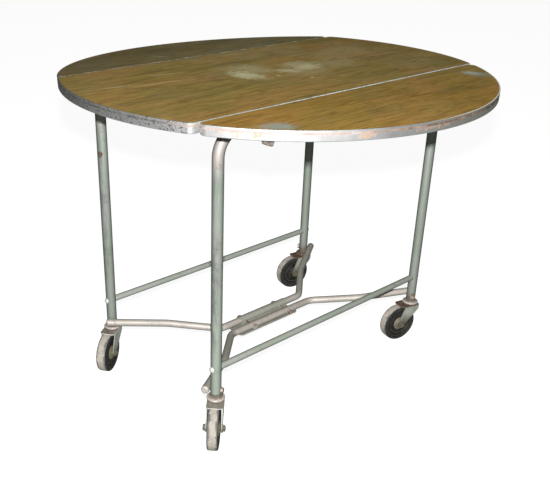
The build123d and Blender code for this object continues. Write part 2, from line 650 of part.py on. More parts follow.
def axle_bolt():
    """The axle with its head and washer, and its nut with the other washer, as two solids."""
    outer = FORK_HALF_GAP + FORK_SHEET
    washer, height = 1.6, 4.8

    def at(y):
        return (TRAIL, y, WHEEL_RADIUS)

    screw = rod(at(-outer), at(outer + washer + height + 1.4), AXLE_RADIUS)
    screw += rod(at(-outer), at(-outer - washer), AXLE_WASHER_RADIUS)
    screw += hex_bar(at(-outer - washer), at(-outer - washer - height), AXLE_HEX_FLATS)
    nut = rod(at(outer), at(outer + washer), AXLE_WASHER_RADIUS)
    nut += hex_bar(at(outer + washer), at(outer + washer + height), AXLE_HEX_FLATS)
    return screw, nut - rod(at(-40), at(40), AXLE_RADIUS + SNUG)


def wheel_core():
    """The dark hard wheel body with stepped faces, and the bush it turns on."""
    half, inner = CORE_HALF_WIDTH, AXLE_RADIUS + FIT
    face = [(BUSH_RADIUS, half - 1.0), (24.0, half - 1.0), (26.0, half - 2.4), (33.0, half - 2.4),
            (35.0, half - 0.6), (39.0, half), (TYRE_INNER_RADIUS, half)]
    bush_end = FORK_HALF_GAP - 0.1
    upper = [(inner, bush_end), (BUSH_RADIUS, bush_end)] + face
    lower = [(r, -h) for r, h in reversed(upper)]
    return on_axle(turned(upper + lower))


def tyre():
    """The tyre with rounded shoulders."""
    ring = extrude(Circle(WHEEL_RADIUS) - Circle(TYRE_INNER_RADIUS), TYRE_HALF_WIDTH, both=True)
    circles = [e for e in ring.edges() if e.geom_type == GeomType.CIRCLE]
    shoulders = [e for e in circles if e.radius > TYRE_INNER_RADIUS + 1]
    return on_axle(fillet(shoulders, TYRE_ROUND))


def hub_discs():
    """A dished zinc disc on each side of the wheel."""
    seat = CORE_HALF_WIDTH - 1.0
    sheet = 1.4
    outline = [(BUSH_RADIUS + SNUG, seat + 3.2), (9.5, seat + 3.2), (12.0, seat + 1.4), (15.0, seat + 1.4),
               (HUB_RADIUS, seat), (HUB_RADIUS, seat + 0.6), (15.6, seat + 1.4 + sheet),
               (12.6, seat + 1.4 + sheet), (10.1, seat + 3.2 + sheet),
               (BUSH_RADIUS + SNUG, seat + 3.2 + sheet)]
    near = turned(outline)
    return on_axle(near), on_axle(near.mirror(Plane.XY))


def make_casters():
    """Four casters, each turned to its own rest direction."""
    sockets, races, pins, balls = [], [], [], []
    for name, sx, sy, heading in CASTERS:
        leg = Pos(sx * LEG_X, sy * LEG_Y, 0)
        swivel = leg * Rot(0, 0, heading)
        head, tail = across_leg(sx, sy, BRACE_RADIUS + 2 * LEG_RADIUS), across_leg(sx, sy, 0)
        sockets.append(leg * caster_socket() - rod(head, tail, BOLT_RADIUS + SNUG))
        races.append(leg * swivel_race())
        pins.append(leg * king_pin())
        balls += [leg * ball for ball in bearing_balls()]
        save(name + "_fork", swivel * fork())
        save(name + "_axle", group([swivel * piece for piece in axle_bolt()]))
        save(name + "_wheel", swivel * wheel_core())
        save(name + "_tyre", swivel * tyre())
        save(name + "_hub_discs", group([swivel * disc for disc in hub_discs()]))
    save("caster_sockets", group(sockets))
    save("swivel_races", group(races))
    save("king_pins", group(pins))
    save("bearing_balls", group(balls))


def main():
    os.makedirs("parts", exist_ok=True)
    make_panel("centre_panel", 0)
    make_panel("front_leaf", -1)
    make_panel("back_leaf", 1)
    make_hinges()
    make_frame()
    make_brace()
    make_casters()


main()
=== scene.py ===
"""Looks for the food service trolley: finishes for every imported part, worn tyres, light and camera.

Metres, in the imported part's own frame: +Z up, origin on the floor under the middle of the top,
+X along the hinge lines, front leaf towards -Y.
"""

import json
import math

import bmesh
import bpy
from mathutils import Matrix, Vector, noise


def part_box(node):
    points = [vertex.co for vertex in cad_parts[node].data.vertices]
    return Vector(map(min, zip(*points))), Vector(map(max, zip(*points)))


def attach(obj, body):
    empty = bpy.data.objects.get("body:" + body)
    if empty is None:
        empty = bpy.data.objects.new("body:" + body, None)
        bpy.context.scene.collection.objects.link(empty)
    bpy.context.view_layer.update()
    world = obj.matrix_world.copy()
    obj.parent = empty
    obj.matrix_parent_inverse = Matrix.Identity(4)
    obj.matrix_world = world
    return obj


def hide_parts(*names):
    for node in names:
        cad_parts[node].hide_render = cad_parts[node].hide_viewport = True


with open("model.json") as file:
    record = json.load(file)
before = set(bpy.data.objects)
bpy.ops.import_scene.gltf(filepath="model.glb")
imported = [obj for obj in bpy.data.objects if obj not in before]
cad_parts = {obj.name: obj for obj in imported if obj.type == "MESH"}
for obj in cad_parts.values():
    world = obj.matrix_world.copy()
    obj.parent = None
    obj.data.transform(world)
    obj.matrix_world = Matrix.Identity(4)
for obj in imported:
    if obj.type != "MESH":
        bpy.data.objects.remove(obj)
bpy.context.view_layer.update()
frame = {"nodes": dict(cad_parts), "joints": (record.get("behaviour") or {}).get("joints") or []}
NODES = frame["nodes"]
JOINTS = {joint["name"]: joint for joint in frame["joints"]}
CORNERS = ("front_left", "back_left", "back_right", "front_right")

# ---- places read from the frame --------------------------------------------------------------
BAND_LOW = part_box("centre_panel_edge_band")[0].z
FOOT_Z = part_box("front_leg_frame")[0].z
LEG_RADIUS = 0.0127
LEG_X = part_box("front_leg_frame")[1].x - LEG_RADIUS
LEG_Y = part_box("back_leg_frame")[1].y - LEG_RADIUS
CROWN_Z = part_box("front_left_fork")[1].z
WHEEL_RADIUS = JOINTS["front_left_wheel_spin"]["pos_m"][2]
TOP_RADIUS = -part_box("front_leaf_edge_band")[0].y
FRONT_HINGE_Y = JOINTS["front_leaf_fold"]["pos_m"][1]
BACK_HINGE_Y = JOINTS["back_leaf_fold"]["pos_m"][1]
BRACE_Z = (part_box("centre_bolts")[0].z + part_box("centre_bolts")[1].z) / 2
RAIL_Z = (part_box("front_side_rail")[0].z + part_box("front_side_rail")[1].z) / 2

# ---- the tyre's section, as in its CAD solid ---------------------------------------------------
TYRE_HALF_WIDTH = 0.0125
TYRE_DEPTH = 0.0088
TYRE_ROUND = 0.003
TYRE_STEPS = 120
ARC_STEPS = 4


# ---- material graphs -------------------------------------------------------------------------
class Graph:
    """Builds one procedural material. Every method takes numbers or sockets and returns a socket."""

    def __init__(self, name):
        self.material = bpy.data.materials.new(name)
        self.material.use_nodes = True
        self.tree = self.material.node_tree
        self.tree.nodes.clear()
        self.place = self.add("ShaderNodeTexCoord").outputs["Object"]

    def add(self, kind, **settings):
        node = self.tree.nodes.new(kind)
        for key, value in settings.items():
            setattr(node, key, value)
        return node

    def feed(self, socket, value):
        if isinstance(value, bpy.types.NodeSocket):
            self.tree.links.new(value, socket)
        else:
            socket.default_value = value

    def math(self, operation, a, b=0.0, clamp=False):
        node = self.add("ShaderNodeMath", operation=operation, use_clamp=clamp)
        self.feed(node.inputs[0], a)
        self.feed(node.inputs[1], b)
        return node.outputs[0]

    def plus(self, a, b):
        return self.math("ADD", a, b)

    def minus(self, a, b):
        return self.math("SUBTRACT", a, b)

    def times(self, a, b):
        return self.math("MULTIPLY", a, b)

    def either(self, a, b):
        return self.math("MAXIMUM", a, b)

    def apart(self, a, b):
        """How far two numbers are apart."""
        return self.math("ABSOLUTE", self.minus(a, b))

    def ragged(self, value, field, reach):
        """A value pushed up and down by a noise field, so that what is read from it has a broken edge."""
        return self.plus(value, self.times(self.minus(field, 0.5), reach))

    def vector(self, operation, a, b=(0, 0, 0)):
        node = self.add("ShaderNodeVectorMath", operation=operation)
        self.feed(node.inputs[0], a)
        self.feed(node.inputs[1], b)
        return node.outputs["Value" if operation in ("LENGTH", "DISTANCE", "DOT_PRODUCT") else "Vector"]

    def axis(self, index, place=None):
        node = self.add("ShaderNodeSeparateXYZ")
        self.feed(node.inputs[0], place or self.place)
        return node.outputs[index]

    def stretched(self, scale, turn=0.0, shift=(0, 0, 0), place=None):
        """The place, scaled along each axis after a turn about +Z, for streaks and grain."""
        node = self.add("ShaderNodeMapping")
        self.feed(node.inputs["Vector"], place or self.place)
        node.inputs["Scale"].default_value = scale
        node.inputs["Rotation"].default_value = (0, 0, turn)
        node.inputs["Location"].default_value = shift
        return node.outputs[0]

    def noise(self, scale, detail=3.0, rough=0.55, place=None, distortion=0.0):
        node = self.add("ShaderNodeTexNoise")
        self.feed(node.inputs["Vector"], place or self.place)
        self.feed(node.inputs["Scale"], scale)
        node.inputs["Detail"].default_value = detail
        node.inputs["Roughness"].default_value = rough
        node.inputs["Distortion"].default_value = distortion
        return node.outputs[0]

    def ramp(self, value, low, high, start=0.0, end=1.0):
        """Goes smoothly from start to end as value goes from low to high."""
        node = self.add("ShaderNodeMapRange", interpolation_type="SMOOTHSTEP")
        self.feed(node.inputs["Value"], value)
        self.feed(node.inputs["From Min"], low)
        self.feed(node.inputs["From Max"], high)
        self.feed(node.inputs["To Min"], start)
        self.feed(node.inputs["To Max"], end)
        return node.outputs[0]

    def normal(self):
        return self.add("ShaderNodeNewGeometry").outputs["Normal"]

    def blob(self, centre, radii, soft=0.5):
        """1 inside an ellipsoid, fading to 0 just outside it."""
        offset = self.vector("SUBTRACT", self.place, centre)
        reach = self.vector("LENGTH", self.vector("DIVIDE", offset, radii))
        return self.ramp(reach, 1.0 - soft, 1.0 + soft, 1.0, 0.0)

    def mix(self, share, a, b):
        """Colour a where share is 0, colour b where it is 1."""
        node = self.add("ShaderNodeMix", data_type="RGBA")
        self.feed(node.inputs["Factor"], share)
        for socket, colour in ((node.inputs[6], a), (node.inputs[7], b)):
            self.feed(socket, colour if isinstance(colour, bpy.types.NodeSocket) else (*colour, 1.0))
        return node.outputs[2]

    def blend(self, share, a, b):
        """Number a where share is 0, number b where it is 1."""
        node = self.add("ShaderNodeMix", data_type="FLOAT")
        for socket, value in zip(node.inputs[:1] + node.inputs[2:4], (share, a, b)):
            self.feed(socket, value)
        return node.outputs[0]

    def bump(self, height, strength, distance, under=None):
        node = self.add("ShaderNodeBump")
        node.inputs["Strength"].default_value = strength
        node.inputs["Distance"].default_value = distance
        self.feed(node.inputs["Height"], height)
        if under:
            self.feed(node.inputs["Normal"], under)
        return node.outputs[0]

    def finish(self, colour, rough, metal=0.0, normal=None, specular=0.5):
        surface = self.add("ShaderNodeBsdfPrincipled")
        is_socket = isinstance(colour, bpy.types.NodeSocket)
        self.feed(surface.inputs["Base Color"], colour if is_socket else (*colour, 1.0))
        self.feed(surface.inputs["Roughness"], rough)
        self.feed(surface.inputs["Metallic"], metal)
        self.feed(surface.inputs["Specular IOR Level"], specular)
        if normal:
            self.feed(surface.inputs["Normal"], normal)
        output = self.add("ShaderNodeOutputMaterial")
        self.tree.links.new(surface.outputs[0], output.inputs[0])
        return self.material


def paint(material, *names):
    """Gives CAD nodes one finish."""
    for name in names:
        mesh = NODES[name].data
        mesh.materials.clear()
        mesh.materials.append(material)
        for polygon in mesh.polygons:
            polygon.material_index = 0


RUST = (0.150, 0.068, 0.034)
RUST_DARK = (0.052, 0.028, 0.018)
RUST_BROWN = (0.112, 0.070, 0.046)
GRIME = (0.045, 0.04, 0.03)


# ---- top -------------------------------------------------------------------------------------
def laminate(name, light, dark, warm, seed, marks=()):
    """Wood-grain laminate, worn: streaks along +X, fine pores, hazy worn patches that grow towards the back
    as a painted sheen, scratches and scuffed marks.

    Each mark is (centre x, centre y, half length, half width, turn, strength, colour).
    """
    g = Graph(name)
    drift = (seed * 3.1, seed * 7.7, 0)
    lean = 0.03
    broad = g.noise(1.0, 4.0, 0.6, g.stretched((2.2, 16, 1), lean, drift), 0.8)
    streak = g.noise(1.0, 5.0, 0.7, g.stretched((9, 105, 1), lean, drift), 0.5)
    dash = g.noise(1.0, 3.0, 0.6, g.stretched((26, 210, 1), lean, drift), 0.2)
    pores = g.noise(1.0, 2.0, 0.5, g.stretched((70, 1100, 1), lean, drift))
    patch = g.noise(5.0, 3.0, 0.6, g.stretched((1, 1.8, 1), 0.0, drift))
    figure = g.noise(1.0, 2.0, 0.5, g.stretched((1.5, 8, 1), lean, drift), 1.2)
    rings = g.ramp(g.math("PINGPONG", g.times(figure, 13.0), 1.0), 0.66, 1.0)
    deep = tuple(0.42 * c for c in dark)
    colour = g.mix(g.ramp(broad, 0.36, 0.64), light, dark)
    colour = g.mix(g.times(g.ramp(patch, 0.42, 0.68), 0.7), colour, warm)
    colour = g.mix(g.times(g.ramp(streak, 0.25, 0.60), g.times(rings, 0.34)), colour, deep)
    colour = g.mix(g.ramp(streak, 0.46, 0.74, 0.0, 0.68), colour, deep)
    colour = g.mix(g.ramp(streak, 0.50, 0.26, 0.0, 0.40), colour, tuple(1.35 * c for c in light))
    colour = g.mix(g.ramp(dash, 0.50, 0.70, 0.0, 0.62), colour, deep)
    colour = g.mix(g.ramp(pores, 0.56, 0.70, 0.0, 0.45), colour, deep)
    # hazy worn patches, made stronger towards the back as a painted sheen
    sheen_towards_back = g.ramp(g.vector("DOT_PRODUCT", g.place, (0.7, 0.7, 0)), -0.20, 0.45, 0.10, 0.42)
    haze_and_sheen = g.times(g.ramp(g.noise(6.0, 5.0, 0.72), 0.34, 0.72), sheen_towards_back)
    colour = g.mix(haze_and_sheen, colour, (0.44, 0.40, 0.27))
    scratch = g.either(thin_lines(g, 0.12, 9.0, seed), thin_lines(g, -0.5, 6.0, seed + 5))
    crumble = g.noise(70.0, 6.0, 0.80, g.stretched((1, 1.6, 1)))
    worn = g.times(scratch, 0.35)
    colour = g.mix(worn, colour, (0.42, 0.40, 0.31))
    for x, y, length, width, turn, strength, tint in marks:
        place = g.stretched((1 / length, 1 / width, 1), 0, place=turned_about(g, (x, y, 0), turn))
        reach = g.vector("LENGTH", g.vector("MULTIPLY", place, (1, 1, 0)))
        spot = g.ramp(reach, 0.1, 1.6, 1.0, 0.0)
        mark = g.times(g.ramp(g.ragged(spot, crumble, 1.9), 0.30, 1.15), strength)
        colour = g.mix(mark, colour, tint)
        worn = g.either(worn, mark)
    rough = g.plus(g.plus(0.40, g.times(g.noise(12.0, 4.0, 0.6), 0.18)), g.times(worn, 0.25))
    normal = g.bump(g.plus(g.times(g.plus(pores, dash), -0.5), g.times(worn, -0.4)), 0.25, 0.0004)
    return g.finish(colour, rough, 0.0, normal, 0.16)


def turned_about(g, centre, turn):
    """The place seen from a centre, turned about +Z."""
    offset = g.vector("SUBTRACT", g.place, centre)
    node = g.add("ShaderNodeVectorRotate", rotation_type="Z_AXIS")
    g.feed(node.inputs["Vector"], offset)
    node.inputs["Angle"].default_value = -turn
    return node.outputs[0]


def thin_lines(g, turn, scale, seed):
    """A few thin scratches, all running nearly one way."""
    along = g.stretched((scale * 0.6, scale * 11, 1), turn, (seed, seed * 2.3, 0))
    line = g.apart(g.noise(1.0, 1.0, 0.5, along), 0.5)
    kept = g.ramp(g.noise(scale, 2.0, 0.5, g.stretched((1, 1, 1), 0, (seed * 4.0, 1, 0))), 0.6, 0.68)
    return g.times(g.ramp(line, 0.0, 0.006, 1.0, 0.0), kept)


def plywood(name):
    """Core board: brown backing below, thin plies where an edge shows."""
    g = Graph(name)
    fibre = g.noise(1.0, 4.0, 0.6, g.stretched((12, 160, 30)))
    stain = g.noise(5.0, 4.0, 0.65)
    colour = g.mix(g.ramp(fibre, 0.35, 0.7), (0.20, 0.125, 0.065), (0.11, 0.065, 0.035))
    colour = g.mix(g.ramp(stain, 0.5, 0.75, 0.0, 0.6), colour, GRIME)
    normal = g.bump(fibre, 0.35, 0.0006)
    return g.finish(colour, g.ramp(fibre, 0.3, 0.7, 0.62, 0.85), 0.0, normal, 0.3)


# Heights up the edge band from its lower edge, and half the width of a hinge line's seam.
GROOVE_MID, GROOVE_HALF = 0.0150, 0.0017
PACKED_MID, PACKED_HALF = 0.0135, 0.0026
LIP_LOW = 0.016
STAIN_HEIGHT = 0.009
SEAM_HALF, SEAM_FADE = 0.006, 0.002
BAND_STAINS = (-143.5, -139.5, -115.5, -101.0, -96.5)  # rust stains, by angle round the rim in degrees

BAND_PAINTED_HIGHLIGHT = (0.62, 0.61, 0.61)
BAND_SHADED = (0.22, 0.22, 0.205)
BAND_YELLOWED = (0.44, 0.41, 0.34)
BAND_SPECK = (0.07, 0.07, 0.075)
BAND_STAIN = (0.42, 0.22, 0.10)
BAND_LIP_HIGHLIGHT = (0.78, 0.77, 0.70)
BAND_UNDER_SHADE = (0.10, 0.15, 0.14)
GROOVE_SHADED_BLACK = (0.085, 0.085, 0.08)
GROOVE_BROWN = (0.10, 0.060, 0.035)
GROOVE_LIT_PALE = (0.50, 0.40, 0.36)


def on_rim(turn, height):
    turn = math.radians(turn)
    return (TOP_RADIUS * math.cos(turn), TOP_RADIUS * math.sin(turn), height)


def levelled(g, hinge, droop):
    """The place in a leaf's own frame, with its droop taken out."""
    turn = g.add("ShaderNodeVectorRotate", rotation_type="AXIS_ANGLE")
    g.feed(turn.inputs["Vector"], g.place)
    turn.inputs["Center"].default_value = hinge
    turn.inputs["Axis"].default_value = (1, 0, 0)
    turn.inputs["Angle"].default_value = droop
    return turn.outputs[0]


def near_seam(g, hinge_y, strength):
    """strength within the seam along a hinge line, fading to 0 beside it."""
    return g.ramp(g.apart(g.axis(1), hinge_y), SEAM_HALF, SEAM_HALF + SEAM_FADE, strength, 0.0)


def band_rust(g, right):
    """Rust on the band's face: thin patches to the right, and the named stains."""
    patches = g.noise(19.0, 5.0, 0.7, g.stretched((1, 1, 2.2), 0, (3, 1, 0)))
    rust = g.times(g.ramp(patches, 0.60, 0.70), g.times(right, 0.6))
    stain_field = g.noise(60.0, 5.0, 0.72)
    for turn in BAND_STAINS:
        spot = g.blob(on_rim(turn, BAND_LOW + STAIN_HEIGHT), (0.030, 0.030, 0.009), 0.6)
        rust = g.either(rust, g.ramp(g.ragged(spot, stain_field, 2.4), 0.75, 1.3, 0.0, 0.8))
    return rust


def edge_band(name, hinge=None, droop=0.0):
    """Aluminium edging: a painted highlight at the near corner, painted shade and dark specks to the left,
    yellowed and rusted right.

    A leaf's band is read in its own levelled frame, so that the groove stays the groove.
    """
    g = Graph(name)
    height = g.minus(g.axis(2, levelled(g, hinge, droop) if hinge else g.place), BAND_LOW)
    facing = g.vector("DOT_PRODUCT", g.place, (-0.7 / TOP_RADIUS, -0.7 / TOP_RADIUS, 0))
    front = g.ramp(facing, 0.88, 0.96)
    past_hinge = g.ramp(g.axis(1), FRONT_HINGE_Y, FRONT_HINGE_Y + 0.012)
    on_left = g.times(g.ramp(g.axis(0), -0.40, -0.44), past_hinge)
    specked = g.times(on_left, g.ramp(facing, 0.93, 0.60, 0.45, 1.0))
    right = g.ramp(g.axis(0), -0.20, 0.10)
    far_right = g.ramp(g.axis(0), 0.02, 0.14)

    # the face, with a painted highlight at the near corner and painted shade to the left
    mottle = g.noise(150.0, 5.0, 0.72, g.stretched((1, 1, 1.6)))
    specks = g.ramp(g.noise(190.0, 3.0, 0.65, g.stretched((1, 1, 1.3))), 0.51, 0.57)
    smear = g.noise(28.0, 4.0, 0.6)
    colour = g.mix(g.ramp(smear, 0.35, 0.75), (0.50, 0.49, 0.49), (0.37, 0.365, 0.36))
    # painted highlight where the band faces the light at the near corner
    colour = g.mix(front, colour, BAND_PAINTED_HIGHLIGHT)
    # painted shade on the left, where the band turns away from the light
    colour = g.mix(g.times(on_left, g.times(g.ramp(facing, 0.90, 0.45), 0.8)), colour, BAND_SHADED)
    colour = g.mix(g.times(right, 0.6), colour, BAND_YELLOWED)
    blotch = g.times(g.ramp(mottle, 0.49, 0.58), g.ramp(front, 0.0, 1.0, 0.10, 0.03))
    blotch = g.either(blotch, g.times(specks, g.ramp(specked, 0.0, 0.45)))
    colour = g.mix(blotch, colour, BAND_SPECK)
    scrape = g.ramp(g.noise(1.0, 2.0, 0.5, g.stretched((60, 60, 1500))), 0.58, 0.7, 0.0, 0.4)
    colour = g.mix(scrape, colour, (0.26, 0.26, 0.26))
    rust = band_rust(g, right)
    colour = g.mix(rust, colour, BAND_STAIN)

    # the groove, and the dirt packed under it to the right
    groove = g.ramp(g.apart(height, GROOVE_MID), GROOVE_HALF, GROOVE_HALF + 0.0008, 1.0, 0.0)
    in_groove = g.times(groove, g.ramp(g.noise(30.0, 4.0, 0.6), 0.25, 0.6, 0.45, 1.0))
    packed = g.ramp(g.apart(height, PACKED_MID), PACKED_HALF, PACKED_HALF + 0.0014, 1.0, 0.0)
    packed = g.times(g.times(packed, far_right), g.ramp(g.noise(34.0, 5.0, 0.7), 0.36, 0.56, 0.15, 0.9))
    tint = g.mix(g.ramp(g.noise(40.0, 3.0), 0.4, 0.62), (0.15, 0.085, 0.050), (0.32, 0.21, 0.15))
    # the groove's dirt, painted black on the left as shade and pale at the near corner as a painted
    # highlight
    tint = g.mix(on_left, tint, GROOVE_SHADED_BLACK)
    tint = g.mix(far_right, tint, GROOVE_BROWN)
    tint = g.mix(g.times(front, g.ramp(far_right, 0.0, 1.0, 0.7, 0.0)), tint, GROOVE_LIT_PALE)
    colour = g.mix(g.either(in_groove, packed), colour, tint)

    # the lip above with a painted highlight where it faces up, the lower edge painted dark as shade, and
    # the seams along the hinge lines
    upward = g.ramp(g.axis(2, g.normal()), 0.6, 0.9)
    lip = g.times(g.times(upward, g.ramp(g.axis(0), -0.20, 0.06)), g.ramp(height, LIP_LOW, LIP_LOW + 0.001))
    colour = g.mix(g.times(lip, 0.85), colour, BAND_LIP_HIGHLIGHT)
    lower_edge_shade = g.ramp(height, 0.0022, 0.0010, 0.0, 0.8)
    colour = g.mix(lower_edge_shade, colour, BAND_UNDER_SHADE)
    back_seam = near_seam(g, BACK_HINGE_Y, 0.96)
    seam_dirt = g.mix(g.ramp(g.noise(45.0, 4.0, 0.7), 0.38, 0.62), (0.09, 0.07, 0.045), (0.30, 0.26, 0.18))
    colour = g.mix(back_seam, colour, seam_dirt)
    front_seam = g.times(near_seam(g, FRONT_HINGE_Y, 0.95), g.ramp(height, LIP_LOW, LIP_LOW + 0.002))
    # the front seam's metal, painted darker towards its left end as shade
    seam_metal_shaded_left = g.mix(g.ramp(g.axis(0), -0.46, 0.0), (0.34, 0.365, 0.33), (0.60, 0.63, 0.64))
    seam_metal_shaded_left = g.mix(g.ramp(mottle, 0.50, 0.62), seam_metal_shaded_left, (0.30, 0.28, 0.26))
    colour = g.mix(front_seam, colour, seam_metal_shaded_left)

    # dirt here also carries the painted highlight on the lip, the painted shade on the lower edge and the
    # seams, for roughness and metal
    dirt = g.either(g.either(blotch, rust), g.either(in_groove, g.either(back_seam, lower_edge_shade)))
    dirt = g.either(g.either(dirt, packed), g.either(front_seam, lip))
    rough = g.plus(g.times(g.ramp(smear, 0.3, 0.7), 0.08), g.blend(dirt, 0.44, 0.70))
    normal = g.bump(g.plus(mottle, g.times(scrape, -1.0)), 0.28, 0.0005)
    normal = g.bump(g.noise(16.0, 2.0, 0.5), 0.35, 0.003, normal)
    return g.finish(colour, rough, g.blend(dirt, 0.75, 0.15), normal)


# ---- bare metal ------------------------------------------------------------------------------
TUBE_ROUGHNESS = 0.55
EDGE_SHADE_GREEN = (0.040, 0.062, 0.040)
LEG_RUBBED = (0.335, 0.385, 0.325)
LEG_TOP_SHADOW = (0.020, 0.032, 0.018)
LEG_BEND_HIGHLIGHT = (0.395, 0.335, 0.320)
LEG_DRAGGED_AND_SHADED = (0.120, 0.112, 0.128)


def leg_wear(g, colour):
    """The legs' own wear and painted light: rubbed bright low down at the near corner, a pinkish painted
    highlight round the left bends, painted shadow at the right tops, and dragged grey down the left sides,
    partly painted shade."""
    on_left, on_right = g.ramp(g.axis(0), 0.0, -0.2), g.ramp(g.axis(0), 0.0, 0.2)
    near_corner = g.ramp(g.vector("DOT_PRODUCT", g.place, (-0.7, -0.7, 0)), 0.30, 0.38)
    rubbed = g.times(near_corner, g.ramp(g.axis(2), 0.50, 0.22, 0.0, 0.75))
    colour = g.mix(rubbed, colour, LEG_RUBBED)
    # painted shadow under the top, on the right legs' upper ends
    top_shadow = g.times(on_right, g.ramp(g.axis(2), 0.635, 0.675, 0.0, 0.8))
    colour = g.mix(top_shadow, colour, LEG_TOP_SHADOW)
    # a pinkish painted highlight round the left legs' bends
    bend = g.times(on_left, g.ramp(g.axis(2), 0.62, 0.69, 0.0, 0.8))
    colour = g.mix(bend, colour, LEG_BEND_HIGHLIGHT)
    # grey streaks dragged down the left legs: wear, with painted shade on their outward side
    outward = g.vector("DOT_PRODUCT", g.normal(), (-0.97, -0.24, 0))
    drag = g.ramp(g.noise(1.0, 5.0, 0.7, g.stretched((230, 230, 26))), 0.38, 0.62)
    patchy = g.ramp(g.noise(1.0, 3.0, 0.6, g.stretched((20, 20, 7))), 0.32, 0.62, 0.35, 1.0)
    middle = g.times(g.ramp(g.axis(2), 0.20, 0.30), g.ramp(g.axis(2), 0.68, 0.60))
    worn_and_shaded_side = g.times(g.ramp(outward, 0.35, 0.95), g.times(on_left, 0.85))
    worn_and_shaded_side = g.times(g.times(worn_and_shaded_side, g.times(drag, patchy)), middle)
    return g.mix(worn_and_shaded_side, colour, LEG_DRAGGED_AND_SHADED)


def foot_rust(g, crumble):
    """Rust rising from the legs' feet, higher on the right."""
    reach = g.blend(g.ramp(g.axis(0), -0.1, 0.1), 0.022, 0.060)
    near_foot = g.ramp(g.minus(g.axis(2), FOOT_Z), 0.0, reach, 0.95, 0.0)
    return g.times(g.ramp(g.plus(near_foot, crumble), 1.0, 1.35), 0.8)


def zinc(name, base, tint, rust_spots=(), scuffs=(), speckle=0.5, shade=0.35, edge=0.45, is_leg=False):
    """Dull plated tube: cloudy patches, dark speckle, painted shade darkening its edges as seen, rust and
    scuffs at the named spots.

    Each rust spot and scuff is (centre, radius).
    """
    g = Graph(name)
    cloud = g.noise(9.0, 4.0, 0.6)
    run = g.noise(1.0, 4.0, 0.6, g.stretched((70, 70, 7)))
    colour = g.mix(g.ramp(cloud, 0.35, 0.68), base, tint)
    colour = g.mix(g.ramp(run, 0.5, 0.78, 0.0, 0.35), colour, tuple(0.5 * c for c in base))
    fleck = g.ramp(g.noise(420.0, 4.0, 0.7), 0.60, 0.70, 0.0, speckle)
    scuff = g.times(g.ramp(g.noise(34.0, 6.0, 0.78), 0.61, 0.70), 0.55)
    dark = g.either(fleck, scuff)
    crumble = g.noise(95.0, 6.0, 0.72)
    if is_leg:
        colour = leg_wear(g, colour)
    for centre, radius in scuffs:
        spot = g.blob(centre, (radius, radius, radius), 0.5)
        dark = g.either(dark, g.ramp(g.ragged(spot, crumble, 2.2), 0.7, 1.25, 0.0, 0.35))
    colour = g.mix(dark, colour, (0.07, 0.065, 0.06))
    rust = g.ramp(g.noise(16.0, 6.0, 0.75, g.stretched((1, 1, 1), 0, (5, 2, 1))), 0.66, 0.74, 0.0, 0.5)
    if is_leg:
        rust = g.either(rust, foot_rust(g, crumble))
    for centre, radius in rust_spots:
        spot = g.blob(centre, (radius, radius, radius), 0.45)
        rust = g.either(rust, g.ramp(g.ragged(spot, crumble, 1.6), 0.45, 1.0))
    brown = RUST_BROWN if is_leg else RUST
    colour = g.mix(rust, colour, g.mix(g.ramp(crumble, 0.4, 0.65), brown, RUST_DARK))
    # painted shade: the colour goes darker and greener towards the tube's edges as seen
    grazing = g.add("ShaderNodeLayerWeight")
    grazing.inputs["Blend"].default_value = 0.5
    colour = g.mix(g.ramp(grazing.outputs["Facing"], 0.12, 0.75, 0.0, edge), colour, EDGE_SHADE_GREEN)
    wear = g.either(rust, dark)
    roughness = g.ragged(g.blend(wear, TUBE_ROUGHNESS, 0.72), cloud, 0.25)
    normal = g.bump(g.plus(g.noise(260.0, 4.0, 0.7), g.times(wear, -0.6)), 0.18, 0.0004)
    return g.finish(colour, roughness, g.blend(wear, shade, 0.1), normal)


def rusty(name, metal_colour, amount, scale=90.0, shade=0.4, rust_levels=(), corner_rust=False):
    """Fasteners and races: plating partly gone to rust.

    It has gone fully at the named heights and, with corner_rust, at the back right corner.
    """
    g = Graph(name)
    crumble = g.noise(scale, 6.0, 0.72)
    fine = g.noise(scale * 5, 4.0, 0.7)
    share = g.ramp(crumble, 0.68 - 0.4 * amount, 0.82 - 0.4 * amount)
    for level in rust_levels:
        off = g.apart(g.axis(2), level)
        line = g.ramp(g.ragged(off, crumble, 0.002), 0.0006, 0.0014, 0.9, 0.0)
        share = g.either(share, line)
    if corner_rust:
        far_corner = g.times(g.ramp(g.axis(0), 0.0, 0.1), g.ramp(g.axis(1), 0.0, 0.1))
        share = g.either(share, g.times(far_corner, g.ramp(crumble, 0.30, 0.50, 0.55, 1.0)))
    brown = RUST_BROWN if corner_rust else RUST
    colour = g.mix(share, metal_colour, g.mix(g.ramp(fine, 0.4, 0.65), brown, RUST_DARK))
    normal = g.bump(g.plus(g.times(share, 0.8), g.times(fine, 0.5)), 0.4, 0.0005)
    return g.finish(colour, g.blend(share, 0.5, 0.85), g.blend(share, shade, 0.1), normal)


# ---- wheels ----------------------------------------------------------------------------------
TYRE_RING_RADIUS = 0.0445
CORE_STEPS = ((0.0395, 0.45), (0.030, 0.55))  # dusty steps in the wheel core: (radius, strength)

TREAD_LIGHT, TREAD_DARK, TREAD_LOW = (0.40, 0.36, 0.31), (0.29, 0.265, 0.23), (0.30, 0.315, 0.235)
RUBBER, RUBBER_DUSTY = (0.008, 0.009, 0.008), (0.036, 0.038, 0.035)
PLASTIC, PLASTIC_DUSTY = (0.008, 0.008, 0.007), (0.034, 0.031, 0.026)
HUB_LIGHT, HUB_DARK, HUB_LINE = (0.215, 0.208, 0.140), (0.130, 0.125, 0.085), (0.055, 0.052, 0.036)
HUB_BLACK, HUB_BLACK_DUSTY = (0.012, 0.011, 0.010), (0.045, 0.040, 0.030)


